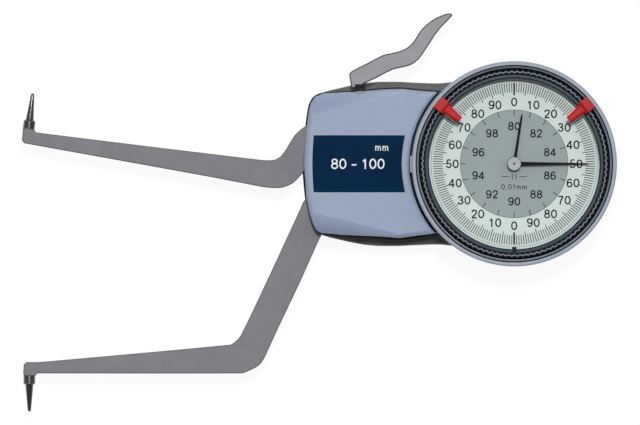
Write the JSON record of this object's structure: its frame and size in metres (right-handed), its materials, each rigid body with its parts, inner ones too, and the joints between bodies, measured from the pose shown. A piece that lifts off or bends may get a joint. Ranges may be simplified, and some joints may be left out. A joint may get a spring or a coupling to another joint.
{
  "type": "internal groove gauge",
  "caption": "Dial gauge for inside grooves: a fixed and a swinging arm with outward contact tips, a finger lever, a rotating bezel and red tolerance markers.",
  "frame": {"origin": "on the dial's axis at the flat back of the rear case", "axes": "+X from the contact tips to the dial, +Y towards the finger lever, +Z out of the dial"},
  "size_m": [0.1866, 0.1251, 0.0332],
  "materials": {
    "case": "satin blue-grey paint",
    "dark_case": "dark grey paint",
    "label": "navy printed plate",
    "black": "black, matte",
    "retainer": "dark teal, satin",
    "dial": "off-white, matte, black scale",
    "red": "red",
    "glass": "clear",
    "arm": "satin grey",
    "dark_steel": "hard, dark",
    "lever": "satin light grey",
    "rubber": "black",
    "screw": "plain",
    "brass": "brushed",
    "gear_steel": "polished"
  },
  "bodies": {
    "housing": {"rear_case": "dark_case", "front_case": "case", "label_plate": "label", "chassis_plate": "brass", "case_screw_1": "screw", "case_screw_2": "screw", "case_screw_3": "screw", "case_screw_4": "screw", "chassis_screw": "screw", "dial_ring": "case", "fixed_arm": "arm", "foot_screw_1": "screw", "foot_screw_2": "screw", "contact_tip_lower": "dark_steel", "arm_shaft": "dark_steel", "lever_shaft": "dark_steel", "stop_pin": "dark_steel", "arm_spring": "gear_steel", "hairspring": "gear_steel", "hairspring_stud": "brass", "bridge_plate": "brass", "pillar_1": "brass", "pillar_2": "brass", "pillar_3": "brass", "bridge_screw_1": "screw", "bridge_screw_2": "screw", "bridge_screw_3": "screw"},
    "swing_arm": {"moving_arm": "arm", "contact_tip_upper": "dark_steel", "gear_sector": "brass"},
    "lever": {"finger_lever": "lever", "lever_seal": "rubber"},
    "train": {"train_arbor": "gear_steel", "train_wheel": "brass"},
    "centre": {"centre_arbor": "gear_steel", "cannon_pinion": "brass", "large_hand": "black", "hand_cap": "case"},
    "minute": {"minute_wheel": "brass"},
    "hour": {"hour_wheel": "brass", "small_hand": "black"},
    "take_up": {"take_up_wheel": "brass", "take_up_arbor": "gear_steel"},
    "bezel": {"bezel_ring": "black", "crystal": "glass", "crystal_retainer": "retainer", "dial_face": "dial"},
    "marker_left": {"tolerance_marker_left": "red"},
    "marker_right": {"tolerance_marker_right": "red"}
  },
  "joints": [
    {"name": "arm_hinge", "type": "hinge", "parent": "housing", "child": "swing_arm", "pos_m": [-0.0555, 0.0144, 0], "axis": [0, 0, 1], "range_deg": [0, 12.5], "stiffness_Nm_per_rad": 0.2, "springref_deg": -31.51},
    {"name": "lever_hinge", "type": "hinge", "parent": "housing", "child": "lever", "pos_m": [-0.0483, 0.0186, 0], "axis": [0, 0, 1], "range_deg": [-22.09, 0.09]},
    {"name": "train_spin", "type": "hinge", "parent": "housing", "child": "train", "pos_m": [-0.01728, 0.00012, 0], "axis": [0, 0, 1], "range_deg": [-342.4, 0.73]},
    {"name": "large_hand_spin", "type": "hinge", "parent": "housing", "child": "centre", "pos_m": [0, 0, 0], "axis": [0, 0, 1], "range_deg": [-7.57, 3765.9]},
    {"name": "minute_spin", "type": "hinge", "parent": "housing", "child": "minute", "pos_m": [0, 0.00576, 0], "axis": [0, 0, 1], "range_deg": [-1255.33, 2.56]},
    {"name": "small_hand_spin", "type": "hinge", "parent": "housing", "child": "hour", "pos_m": [0, 0, 0], "axis": [0, 0, 1], "range_deg": [-0.8, 376.63]},
    {"name": "take_up_spin", "type": "hinge", "parent": "housing", "child": "take_up", "pos_m": [0.00708, -0.00496, 0], "axis": [0, 0, 1], "range_deg": [-753.22, 1.55]},
    {"name": "bezel_turn", "type": "hinge", "parent": "housing", "child": "bezel", "pos_m": [0, 0, 0], "axis": [0, 0, 1], "continuous": true},
    {"name": "marker_left_turn", "type": "hinge", "parent": "housing", "child": "marker_left", "pos_m": [0, 0, 0], "axis": [0, 0, 1], "range_deg": [-38, 105]},
    {"name": "marker_right_turn", "type": "hinge", "parent": "housing", "child": "marker_right", "pos_m": [0, 0, 0], "axis": [0, 0, 1], "range_deg": [-105, 38]}
  ],
  "couplings": [
    {"joint": "lever_hinge", "follows": "arm_hinge", "ratio": -1.76},
    {"joint": "train_spin", "follows": "arm_hinge", "ratio": -27.333},
    {"joint": "large_hand_spin", "follows": "arm_hinge", "ratio": 300.67},
    {"joint": "minute_spin", "follows": "arm_hinge", "ratio": -100.22},
    {"joint": "small_hand_spin", "follows": "arm_hinge", "ratio": 30.067},
    {"joint": "take_up_spin", "follows": "arm_hinge", "ratio": -60.133}
  ]
}
